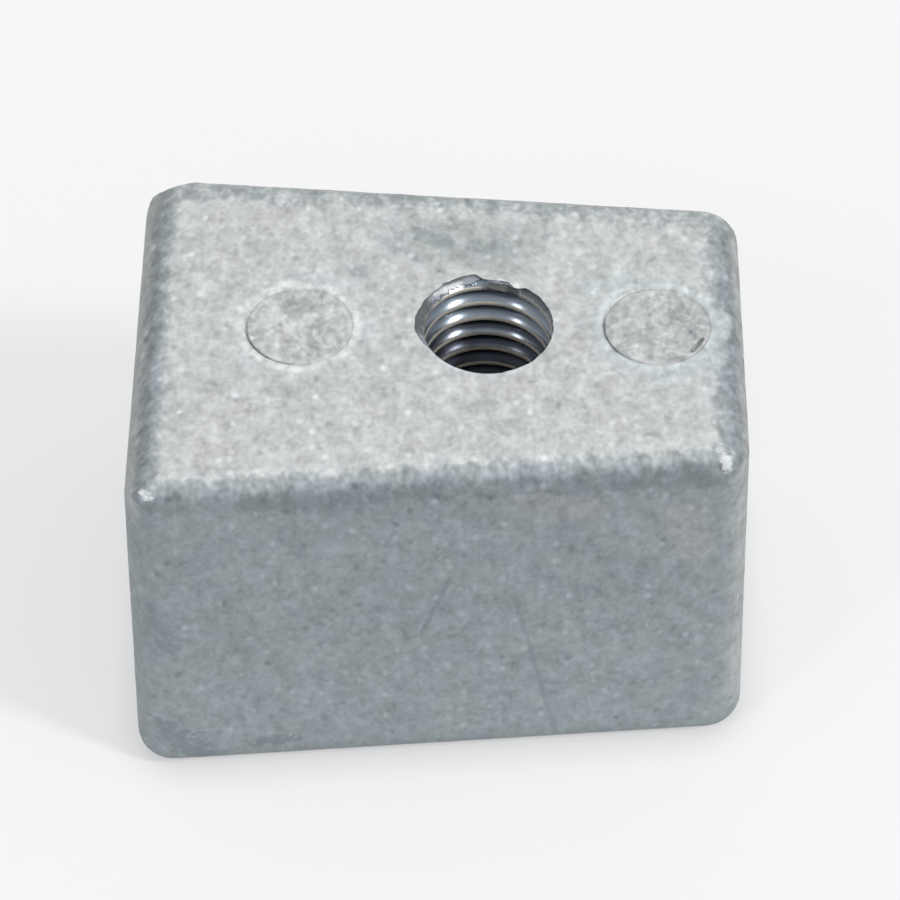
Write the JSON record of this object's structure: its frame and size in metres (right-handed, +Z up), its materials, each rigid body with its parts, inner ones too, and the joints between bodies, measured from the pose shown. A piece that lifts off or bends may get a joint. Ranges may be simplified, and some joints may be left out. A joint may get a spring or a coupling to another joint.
{
  "type": "sacrificial anode",
  "caption": "Wedge-shaped sacrificial anode, a drafted block cast in zinc with rounded edges, a blind tapped hole and ejector-pin marks in its mounting face.",
  "frame": {"origin": "centre of the bounding box, on the face the block stands on", "axes": "+X along the block from its deep heel to its shallow toe, +Z up, out of the tapped hole in the mounting face"},
  "size_m": [0.0432, 0.0322, 0.0286],
  "materials": {
    "zinc": "as-cast zinc alloy, matt grey with a pale oxide bloom on the mounting face and darker rounded edges"
  },
  "bodies": {
    "root": {"anode_block": "zinc"}
  },
  "joints": []
}
